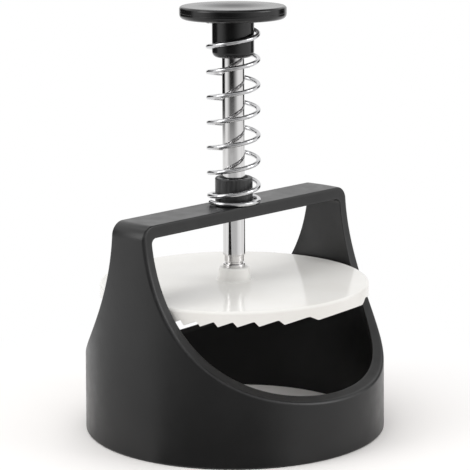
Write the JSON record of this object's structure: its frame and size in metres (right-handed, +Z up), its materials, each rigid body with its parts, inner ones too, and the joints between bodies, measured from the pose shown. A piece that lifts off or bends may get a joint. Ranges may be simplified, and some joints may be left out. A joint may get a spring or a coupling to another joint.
{
  "type": "burger press",
  "caption": "Hand burger press: a round forming ring with a bridge over it, and a sprung plunger whose knob pushes a ridged round plate down into the ring.",
  "frame": {"origin": "centre of the forming ring on the table", "axes": "+Z up along the plunger, +X along the bridge, -Y towards the front"},
  "size_m": [0.12, 0.12, 0.1681],
  "materials": {
    "body_plastic": "fine matte moulding",
    "bush_plastic": "satin, turned",
    "rod_steel": "polished stainless steel",
    "plate_plastic": "glossy white moulding",
    "spring_steel": "bright drawn wire",
    "knob_plastic": "glossy moulding",
    "screw_steel": "zinc plated"
  },
  "bodies": {
    "frame": {"press_body": "body_plastic", "guide_bush": "bush_plastic"},
    "spring": {"return_spring": "spring_steel"},
    "plunger": {"plunger_rod": "rod_steel", "press_plate": "plate_plastic", "knob_base": "knob_plastic", "knob_cap": "knob_plastic", "knob_screw": "screw_steel", "knob_washer": "screw_steel"}
  },
  "joints": [
    {"name": "plunger_turn", "type": "hinge", "parent": "frame", "child": "spring", "pos_m": [0, 0, 0.0904], "axis": [0, 0, 1], "continuous": true},
    {"name": "plunger_press", "type": "slide", "parent": "spring", "child": "plunger", "axis": [0, 0, 1], "range_m": [-0.0472, 0.0205], "stiffness_N_per_m": 1900, "springref_m": 0.00055, "deforming": ["return_spring"]}
  ]
}
